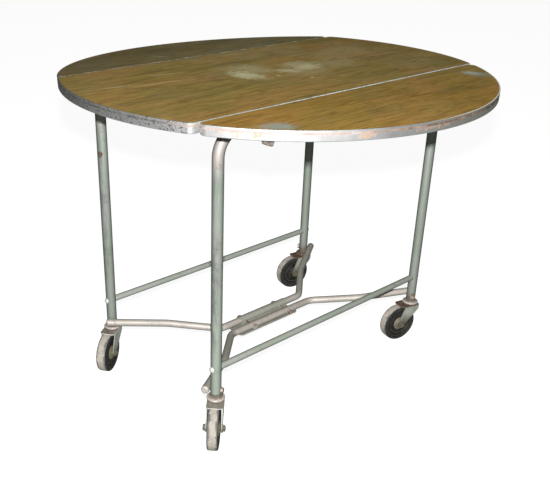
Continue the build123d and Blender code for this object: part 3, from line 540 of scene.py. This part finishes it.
def wheel_space(g, joint):
    """How far a point is from the wheel's axle, and how far along the axle from the middle."""
    offset = g.vector("SUBTRACT", g.place, tuple(joint["pos_m"]))
    along = g.vector("DOT_PRODUCT", offset, tuple(joint["axis"]))
    across = g.add("ShaderNodeVectorMath", operation="CROSS_PRODUCT")
    g.feed(across.inputs[0], offset)
    g.feed(across.inputs[1], tuple(joint["axis"]))
    return g.vector("LENGTH", across.outputs[0]), g.math("ABSOLUTE", along)


def tyre_rubber(name, joint):
    """Tyre: a dusty beige tread with dark scuffed shoulders, and near-black sides."""
    g = Graph(name)
    radius, aside = wheel_space(g, joint)
    grain = g.noise(330.0, 5.0, 0.7)
    dirt = g.noise(70.0, 5.0, 0.75)
    low = g.ramp(g.axis(2), 0.05, 0.0)
    tread = g.mix(g.ramp(dirt, 0.35, 0.7), TREAD_LIGHT, TREAD_DARK)
    tread = g.mix(g.times(low, 0.45), tread, TREAD_LOW)
    tread = g.mix(g.ramp(grain, 0.56, 0.66, 0.0, 0.5), tread, (0.12, 0.11, 0.10))
    worn_out = g.ragged(aside, dirt, 0.022)
    scuff = g.ramp(worn_out, TYRE_HALF_WIDTH - 0.0062, TYRE_HALF_WIDTH - 0.0022, 0.0, 0.88)
    tread = g.mix(scuff, tread, (0.085, 0.087, 0.095))
    side = g.mix(g.ramp(dirt, 0.4, 0.75), RUBBER, RUBBER_DUSTY)
    ring = g.ramp(g.apart(radius, TYRE_RING_RADIUS), 0.0, 0.0012, 0.6, 0.0)
    side = g.mix(ring, side, (0.085, 0.085, 0.075))
    edge = g.ramp(g.ragged(radius, dirt, 0.006), WHEEL_RADIUS - 0.0026, WHEEL_RADIUS - 0.0008)
    edge = g.times(edge, g.ramp(aside, TYRE_HALF_WIDTH, TYRE_HALF_WIDTH - 0.0012))
    colour = g.mix(edge, side, tread)
    normal = g.bump(g.plus(grain, dirt), 0.3, 0.0006)
    return g.finish(colour, g.blend(edge, 0.6, 0.85), 0.0, normal, 0.25)


def wheel_plastic(name, joint):
    """Wheel core: near-black moulded disc with thin dusty steps."""
    g = Graph(name)
    radius, _ = wheel_space(g, joint)
    dust = g.noise(70.0, 5.0, 0.7)
    colour = g.mix(g.ramp(dust, 0.40, 0.80), PLASTIC, PLASTIC_DUSTY)
    for step, strength in CORE_STEPS:
        line = g.ramp(g.apart(radius, step), 0.0, 0.0013, strength, 0.0)
        colour = g.mix(line, colour, (0.115, 0.105, 0.085))
    return g.finish(colour, 0.6, 0.0, g.bump(dust, 0.3, 0.0005), 0.25)


def hub_metal(name, joint, plated):
    """Hub disc: turned plate, greenish, with rust at its middle.

    Its last argument is 1 for a disc in its plated colour and 0 for a near-black one.
    """
    g = Graph(name)
    radius, _ = wheel_space(g, joint)
    rings = g.math("SINE", g.times(radius, 3000.0))
    dust = g.noise(110.0, 5.0, 0.7)
    colour = g.mix(g.ramp(dust, 0.35, 0.7), HUB_LIGHT, HUB_DARK)
    colour = g.mix(g.ramp(rings, 0.2, 1.0, 0.0, 0.45), colour, HUB_LINE)
    rust = g.ramp(g.ragged(radius, dust, 0.012), 0.0055, 0.0095, 0.85, 0.0)
    colour = g.mix(rust, colour, RUST_DARK)
    rim = g.ramp(radius, 0.0175, 0.019, 0.0, 0.5)
    colour = g.mix(rim, colour, RUST)
    colour = g.mix(plated, g.mix(g.ramp(dust, 0.4, 0.7), HUB_BLACK, HUB_BLACK_DUSTY), colour)
    normal = g.bump(g.plus(g.times(rings, 0.3), dust), 0.3, 0.0004)
    metal = g.blend(rust, 0.3 * plated, 0.1)
    return g.finish(colour, g.blend(rust, 0.55, 0.8), metal, normal, 0.2 + 0.3 * plated)


PLATE_LIGHT, PLATE_DARK, PLATE_STREAK = (0.42, 0.425, 0.375), (0.30, 0.325, 0.265), (0.10, 0.105, 0.085)
CROWN_TOP_SHADED, CROWN_RIM, FORK_GREASE = (0.20, 0.165, 0.125), (0.66, 0.62, 0.60), (0.10, 0.09, 0.06)


def fork_plate(name, crown_rust, grease):
    """Fork: dull plate, a bright edge to its crown, brown on the crown with painted shade on its top, and
    greasy near the axle.
    """
    g = Graph(name)
    cloud = g.noise(16.0, 4.0, 0.65)
    crumble = g.noise(110.0, 6.0, 0.74)
    streak = g.noise(1.0, 4.0, 0.65, g.stretched((160, 160, 24)))
    height, upright = g.axis(2), g.math("ABSOLUTE", g.axis(2, g.normal()))
    colour = g.mix(g.ramp(cloud, 0.35, 0.68), PLATE_LIGHT, PLATE_DARK)
    colour = g.mix(g.ramp(streak, 0.50, 0.72, 0.0, 0.55), colour, PLATE_STREAK)
    on_crown = g.ramp(height, CROWN_Z - 0.004, CROWN_Z - 0.002, 0.0, 0.6)
    # the crown's upward faces painted darker brown: partly rust-brown, partly painted shade under the
    # swivel race
    colour = g.mix(g.times(g.ramp(upright, 0.7, 0.9), on_crown), colour, CROWN_TOP_SHADED)
    grease_top = WHEEL_RADIUS + 0.012 + 0.025 * grease
    greasy = g.times(g.ramp(g.ragged(height, cloud, 0.02), grease_top, WHEEL_RADIUS), grease)
    colour = g.mix(greasy, colour, FORK_GREASE)
    rim = g.times(g.ramp(upright, 0.7, 0.4), g.ramp(height, CROWN_Z - 0.0035, CROWN_Z - 0.0025))
    colour = g.mix(rim, colour, CROWN_RIM)
    crown = g.ramp(height, CROWN_Z - 0.006, CROWN_Z - 0.002, 0.0, crown_rust)
    spots = g.ramp(crumble, 0.62, 0.72, 0.0, 0.6)
    rust = g.either(spots, g.ramp(g.ragged(crown, crumble, 1.4), 0.30, 0.85, 0.0, 0.95))
    rust = g.times(rust, g.ramp(rim, 0.0, 1.0, 1.0, crown_rust))
    colour = g.mix(rust, colour, g.mix(g.ramp(crumble, 0.38, 0.62), RUST_BROWN, RUST_DARK))
    rough = g.ragged(g.blend(rust, 0.46, 0.75), cloud, 0.2)
    normal = g.bump(g.plus(crumble, streak), 0.3, 0.0006)
    return g.finish(colour, rough, g.blend(rust, 0.35, 0.1), normal)


def tyre_outline():
    """The tyre's section as (radius, place along the axle), from one inner edge round to the other."""
    inner, shoulder = WHEEL_RADIUS - TYRE_DEPTH, WHEEL_RADIUS - TYRE_ROUND
    flat = TYRE_HALF_WIDTH - TYRE_ROUND
    side = [(inner + (shoulder - inner) * k / 3, TYRE_HALF_WIDTH) for k in range(3)]
    arc = [i / ARC_STEPS * math.pi / 2 for i in range(ARC_STEPS + 1)]
    side += [(shoulder + TYRE_ROUND * math.sin(a), flat + TYRE_ROUND * math.cos(a)) for a in arc]
    tread = [(WHEEL_RADIUS, flat * (1 - k / 4)) for k in range(1, 4)] + [(WHEEL_RADIUS, 0.0)]
    return side + tread + [(r, -w) for r, w in reversed(side + tread[:-1])]


def tyre_loss(turn, radius, width, seed):
    """How much rubber has gone from one point of the section: most where a shoulder is chipped."""
    if radius <= WHEEL_RADIUS - TYRE_ROUND:
        return 0.0
    place = Vector((math.cos(turn), math.sin(turn), width * 30 + seed)) * 9.0
    rubbed = 0.5 + 0.5 * noise.noise(place * 0.35)
    chip = max(0.0, noise.noise(place * 1.6) - 0.28) * 2.4
    at_shoulder = max(0.0, 1 - abs(abs(width) - (TYRE_HALF_WIDTH - TYRE_ROUND)) / 0.0035)
    return 0.00022 * rubbed + at_shoulder * (0.0004 * rubbed + 0.0010 * min(1.0, chip))


def worn_tyre(corner, seed):
    """A tyre with rubbed, chipped shoulders, inside its CAD solid's space."""
    joint = JOINTS[corner + "_wheel_spin"]
    middle, axle = Vector(joint["pos_m"]), Vector(joint["axis"]).normalized()
    up = Vector((0, 0, 1))
    along = axle.cross(up).normalized()
    outline = tyre_outline()
    mesh = bmesh.new()
    rows = []
    for step in range(TYRE_STEPS):
        turn = 2 * math.pi * step / TYRE_STEPS
        spoke = math.cos(turn) * up + math.sin(turn) * along
        row = []
        for radius, width in outline:
            left = radius - tyre_loss(turn, radius, width, seed)
            row.append(mesh.verts.new(middle + left * spoke + width * axle))
        rows.append(row)
    count = len(outline)
    for a, b in zip(rows, rows[1:] + rows[:1]):
        for i in range(count):
            j = (i + 1) % count
            mesh.faces.new((a[i], a[j], b[j], b[i]))
    bmesh.ops.recalc_face_normals(mesh, faces=mesh.faces)
    data = bpy.data.meshes.new(corner + "_worn_tyre")
    mesh.to_mesh(data)
    mesh.free()
    data.polygons.foreach_set("use_smooth", [True] * len(data.polygons))
    tyre = bpy.data.objects.new(corner + "_worn_tyre", data)
    bpy.context.scene.collection.objects.link(tyre)
    data.materials.append(tyre_rubber(corner + "_tyre_rubber", joint))
    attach(tyre, corner + "_wheel_body")
    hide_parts(corner + "_tyre")


# ---- finishes on the parts -------------------------------------------------------------------
CHALK = (0.62, 0.57, 0.36)
PALE_SMEAR = (0.56, 0.46, 0.26)
WORN_GREY = (0.31, 0.345, 0.305)
WORN_PALE = (0.50, 0.52, 0.44)
CENTRE_MARKS = (
    (-0.096, 0.000, 0.070, 0.040, -1.35, 0.95, CHALK),
    (-0.045, 0.045, 0.080, 0.060, -1.02, 0.45, CHALK),
    (0.084, -0.022, 0.055, 0.034, -0.06, 0.95, CHALK),
    (0.017, -0.024, 0.040, 0.028, -0.79, 0.75, CHALK),
    (0.090, 0.016, 0.070, 0.045, -0.09, 0.60, CHALK),
    (0.163, -0.025, 0.110, 0.060, 0.01, 0.40, PALE_SMEAR),
    (0.050, -0.060, 0.090, 0.045, -0.06, 0.36, PALE_SMEAR),
    (-0.038, -0.046, 0.007, 0.007, 0.0, 0.85, CHALK),
    (0.010, -0.106, 0.007, 0.007, 0.0, 0.85, CHALK),
    (-0.401, 0.080, 0.050, 0.005, -0.13, 0.45, CHALK),
    (-0.306, 0.055, 0.100, 0.005, -0.10, 0.50, CHALK),
    (-0.240, 0.119, 0.060, 0.006, -0.20, 0.40, CHALK),
    (0.300, 0.060, 0.140, 0.080, 0.05, 0.28, PALE_SMEAR),
)
FRONT_MARKS = (
    (-0.336, -0.348, 0.046, 0.032, -0.68, 1.00, WORN_GREY),
    (0.352, -0.318, 0.046, 0.032, -1.15, 0.90, WORN_GREY),
    (0.352, -0.302, 0.026, 0.020, -1.15, 0.90, WORN_PALE),
)
BACK_MARKS = ((-0.110, 0.316, 0.040, 0.004, -1.26, 0.7, CHALK),)


# Each laminate's main, darker and warmer wood colours; the back leaf's are darker, partly as painted shade.
CENTRE_WOOD = ((0.388, 0.254, 0.067), (0.288, 0.202, 0.052), (0.450, 0.230, 0.069))
FRONT_WOOD = ((0.425, 0.245, 0.050), (0.320, 0.200, 0.040), (0.465, 0.222, 0.054))
BACK_WOOD_PARTLY_SHADED = ((0.300, 0.210, 0.078), (0.215, 0.155, 0.056), (0.320, 0.205, 0.082))


def finish_top():
    paint(laminate("centre_laminate", *CENTRE_WOOD, 1, CENTRE_MARKS), "centre_panel_laminate")
    paint(laminate("front_leaf_laminate", *FRONT_WOOD, 2, FRONT_MARKS), "front_leaf_laminate")
    paint(laminate("back_leaf_laminate", *BACK_WOOD_PARTLY_SHADED, 3, BACK_MARKS), "back_leaf_laminate")
    paint(plywood("core_board"), "centre_panel_core", "front_leaf_core", "back_leaf_core")
    paint(edge_band("centre_band"), "centre_panel_edge_band")
    for leaf in ("front_leaf", "back_leaf"):
        joint = JOINTS[leaf + "_fold"]
        droop = math.radians(joint["range_deg"][0]) * joint["axis"][0]
        paint(edge_band(leaf + "_band", tuple(joint["pos_m"]), droop), leaf + "_edge_band")
    nails = rusty("nail_steel", (0.45, 0.44, 0.42), 0.55, 300.0)
    paint(nails, "centre_panel_band_nails", "front_leaf_band_nails", "back_leaf_band_nails")
    hinge = rusty("hinge_steel", (0.42, 0.41, 0.38), 0.25)
    paint(hinge, "hinge_fixed_flaps", "front_hinge_moving_flaps", "back_hinge_moving_flaps")
    paint(rusty("stop_steel", (0.33, 0.30, 0.27), 0.55, 120.0), "front_leaf_stops", "back_leaf_stops")
    screws = rusty("screw_steel", (0.5, 0.48, 0.44), 0.4, 200.0)
    paint(screws, "hinge_pins", "hinge_fixed_screws", "front_leaf_screws", "back_leaf_screws")


# Dark scuffs down the two near legs: (across, height, radius) and (height, radius).
FRONT_LEFT_SCUFFS = (
    (-0.006, 0.660, 0.010), (0.008, 0.636, 0.010), (0.004, 0.490, 0.022), (-0.008, 0.440, 0.018),
    (0.004, 0.405, 0.020), (0.0, 0.182, 0.016),
)
BACK_LEFT_SCUFFS = ((0.640, 0.012), (0.470, 0.020), (0.330, 0.020))


def finish_frame():
    corners = [(sx, sy) for sx in (-1, 1) for sy in (-1, 1)]
    leg_spots = [((sx * LEG_X, sy * LEG_Y, RAIL_Z), 0.011) for sx, sy in corners]
    leg_spots += [((-LEG_X - 0.012, LEG_Y - 0.005, 0.58), 0.009)]
    leg_scuffs = [((-LEG_X + dx, -LEG_Y - 0.010, z), r) for dx, z, r in FRONT_LEFT_SCUFFS]
    leg_scuffs += [((-LEG_X - 0.004, LEG_Y - 0.012, z), r) for z, r in BACK_LEFT_SCUFFS]
    legs = zinc("leg_zinc", (0.282, 0.296, 0.274), (0.222, 0.264, 0.211), leg_spots, leg_scuffs,
                edge=0.75, is_leg=True)
    paint(legs, "front_leg_frame", "back_leg_frame")
    rails = zinc("rail_zinc", (0.340, 0.355, 0.325), (0.290, 0.320, 0.270), speckle=0.3, shade=0.25)
    paint(rails, "front_side_rail", "back_side_rail")
    low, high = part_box("centre_bolts")
    bolt_xs = (low.x + 0.0074, high.x - 0.0074)
    spots = [((x, s * 0.022, BRACE_Z), 0.007) for x in bolt_xs for s in (-1, 1)]
    brace_tints = (0.430, 0.385, 0.350), (0.360, 0.335, 0.300)
    paint(zinc("brace_zinc", *brace_tints, spots, speckle=0.35, shade=0.25), "front_brace", "back_brace")
    sheet = zinc("sheet_zinc", (0.360, 0.340, 0.300), (0.300, 0.305, 0.260), spots, speckle=0.3, shade=0.25)
    paint(sheet, "centre_channel", "centre_saddles")
    bolts = rusty("bolt_steel", (0.45, 0.40, 0.36), 0.65)
    paint(bolts, "centre_bolts", "brace_end_bolts", "brace_end_nuts")
    paint(rusty("rivet_steel", (0.62, 0.60, 0.57), 0.15), "rail_rivets")
    paint(rusty("run_screw_steel", (0.40, 0.39, 0.36), 0.4, 150.0), "run_spacers", "run_screws")


# How far each caster's crown has rusted, its fork has gone greasy and its hub disc keeps its plated colour,
# not near-black, from 0 to 1.
CROWN_RUST = {"front_left": 0.38, "back_left": 0.45, "back_right": 1.0, "front_right": 1.0}
GREASE = {"front_left": 0.45, "back_left": 0.55, "back_right": 0.95, "front_right": 0.90}
PLATED_HUB = {"front_left": 1.0, "back_left": 1.0, "back_right": 0.0, "front_right": 1.0}


def finish_casters():
    low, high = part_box("swivel_races")
    levels = (low.z + 0.0010, high.z - 0.0010)
    race = rusty("race_steel", (0.44, 0.385, 0.355), 0.30, 120.0, 0.2, levels, True)
    paint(race, "swivel_races")
    paint(rusty("socket_steel", (0.33, 0.31, 0.28), 0.45, 120.0), "caster_sockets", "king_pins")
    paint(rusty("ball_steel", (0.5, 0.5, 0.5), 0.2, 400.0), "bearing_balls")
    axle = rusty("axle_steel", (0.115, 0.105, 0.075), 0.40, 160.0, 0.15)
    for seed, corner in enumerate(CORNERS):
        joint = JOINTS[corner + "_wheel_spin"]
        paint(fork_plate(corner + "_fork_plate", CROWN_RUST[corner], GREASE[corner]), corner + "_fork")
        paint(axle, corner + "_axle")
        worn_tyre(corner, seed)
        paint(wheel_plastic(corner + "_wheel_plastic", joint), corner + "_wheel")
        paint(hub_metal(corner + "_hub_metal", joint, PLATED_HUB[corner]), corner + "_hub_discs")


# ---- stage, light and camera -----------------------------------------------------------------
LENS = 51.49
SENSOR = 36.0
CAMERA_PLACE = Vector((-1.3249, -1.3332, 1.1565))
CAMERA_YAW, CAMERA_PITCH, CAMERA_ROLL = math.radians(42.015), math.radians(26.001), math.radians(1.135)
CAMERA_SHIFT = (0.0751, 0.0381)


def make_camera():
    data = bpy.data.cameras.new("camera")
    data.lens, data.sensor_width = LENS, SENSOR
    data.shift_x, data.shift_y = CAMERA_SHIFT
    camera = bpy.data.objects.new("camera", data)
    bpy.context.scene.collection.objects.link(camera)
    yaw, pitch, roll = CAMERA_YAW, CAMERA_PITCH, CAMERA_ROLL
    ahead = Vector((math.sin(yaw) * math.cos(pitch), math.cos(yaw) * math.cos(pitch), -math.sin(pitch)))
    right = Vector((math.cos(yaw), -math.sin(yaw), 0))
    up = right.cross(ahead)
    tilted_right = math.cos(roll) * right + math.sin(roll) * up
    tilted_up = -math.sin(roll) * right + math.cos(roll) * up
    camera.matrix_world = Matrix.Translation(CAMERA_PLACE) @ Matrix(
        (tilted_right, tilted_up, -ahead)
    ).transposed().to_4x4()
    bpy.context.scene.camera = camera
    return camera


def area_light(name, place, target, size, power):
    """An area light that fades with distance rather than with its square."""
    data = bpy.data.lights.new(name, "AREA")
    data.size, data.energy = size, power
    data.use_nodes = True
    tree = data.node_tree
    falloff = tree.nodes.new("ShaderNodeLightFalloff")
    falloff.inputs["Strength"].default_value = 1.0
    tree.links.new(falloff.outputs["Linear"], tree.nodes["Emission"].inputs["Strength"])
    light = bpy.data.objects.new(name, data)
    bpy.context.scene.collection.objects.link(light)
    light.location = place
    light.rotation_mode = "QUATERNION"
    light.rotation_quaternion = (Vector(target) - Vector(place)).to_track_quat("-Z", "Y")
    return light


KEY_RISE = 0.11  # the key light sits this far above the lens
KEY_SIZE = 0.04
KEY_POWER = 38.5
FILL = (0.080, 0.098, 0.072)
FLOOR_HALF = 30.0
FLOOR_DIFFUSE = (0.22, 0.22, 0.22)
FLOOR_GLOW = (0.93, 0.93, 0.93)
FLOOR_BOUNCE = (0.06, 0.065, 0.06)


def shown_only(tree, to_camera, otherwise):
    """One colour for what the camera sees directly, another for what lights the object."""
    rays = tree.nodes.new("ShaderNodeLightPath")
    choice = tree.nodes.new("ShaderNodeMix")
    choice.data_type = "RGBA"
    tree.links.new(rays.outputs["Is Camera Ray"], choice.inputs["Factor"])
    choice.inputs[6].default_value = (*otherwise, 1)
    choice.inputs[7].default_value = (*to_camera, 1)
    return choice.outputs[2]


def make_light(camera):
    """A small key light carried just above the lens, and an even fill from all round."""
    middle = Vector((0, 0, 0.5))
    key = area_light("key", CAMERA_PLACE + Vector((0, 0, KEY_RISE)), middle, KEY_SIZE, KEY_POWER)
    bpy.context.view_layer.update()
    placed = key.matrix_world.copy()
    key.parent = camera
    key.matrix_world = placed
    world = bpy.data.worlds.new("world")
    bpy.context.scene.world = world
    world.use_nodes = True
    tree = world.node_tree
    colour = shown_only(tree, (1.0, 1.0, 1.0), FILL)
    tree.links.new(colour, tree.nodes["Background"].inputs["Color"])


def make_floor():
    """A wide pale floor that glows a little, so that it stays pale under a small light."""
    mesh = bpy.data.meshes.new("floor")
    half = FLOOR_HALF
    square = [(-half, -half, 0), (half, -half, 0), (half, half, 0), (-half, half, 0)]
    mesh.from_pydata(square, [], [(0, 1, 2, 3)])
    floor = bpy.data.objects.new("floor", mesh)
    bpy.context.scene.collection.objects.link(floor)
    g = Graph("floor_paint")
    surface = g.add("ShaderNodeBsdfDiffuse")
    surface.inputs["Color"].default_value = (*FLOOR_DIFFUSE, 1)
    glow = g.add("ShaderNodeEmission")
    g.tree.links.new(shown_only(g.tree, FLOOR_GLOW, FLOOR_BOUNCE), glow.inputs["Color"])
    both = g.add("ShaderNodeAddShader")
    output = g.add("ShaderNodeOutputMaterial")
    g.tree.links.new(surface.outputs[0], both.inputs[0])
    g.tree.links.new(glow.outputs[0], both.inputs[1])
    g.tree.links.new(both.outputs[0], output.inputs[0])
    mesh.materials.append(g.material)


finish_top()
finish_frame()
finish_casters()
make_floor()
make_light(make_camera())
bpy.context.scene.view_settings.view_transform = "Standard"
